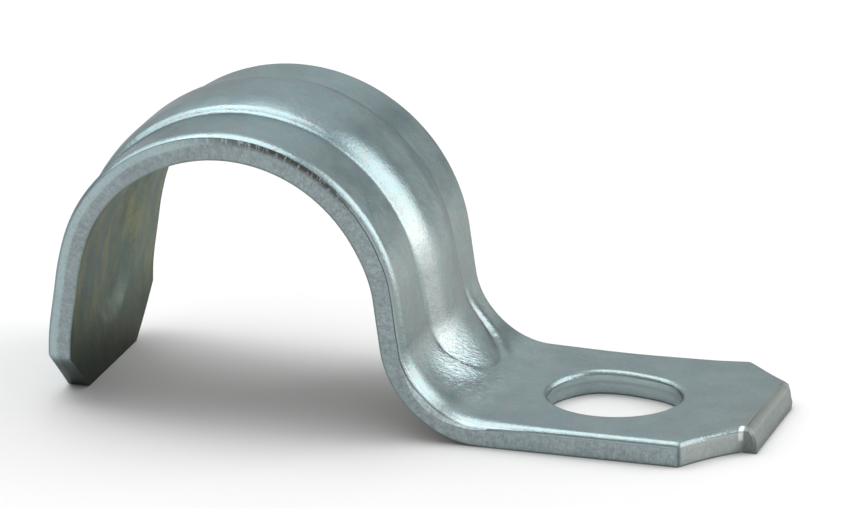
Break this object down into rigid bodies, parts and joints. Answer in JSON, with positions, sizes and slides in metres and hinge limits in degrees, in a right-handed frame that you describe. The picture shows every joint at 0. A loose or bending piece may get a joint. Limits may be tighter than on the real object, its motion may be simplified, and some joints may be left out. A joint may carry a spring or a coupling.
{
  "type": "conduit strap",
  "caption": "One-hole strap pressed from plated steel strip: ribbed half-round saddle, hanging leg, and a flat foot with a screw hole and cut corners.",
  "frame": {"origin": "axis of the conduit that the saddle holds, at the middle of the strap's width", "axes": "+X towards the screw foot, +Y along the conduit, +Z away from the wall that the strap is screwed to"},
  "size_m": [0.0426, 0.015, 0.0181],
  "materials": {
    "plated_steel": "bright zinc plating with a faint yellow and green tint, satin, sheared edges darker and striated"
  },
  "bodies": {
    "root": {"strap": "plated_steel"}
  },
  "joints": []
}
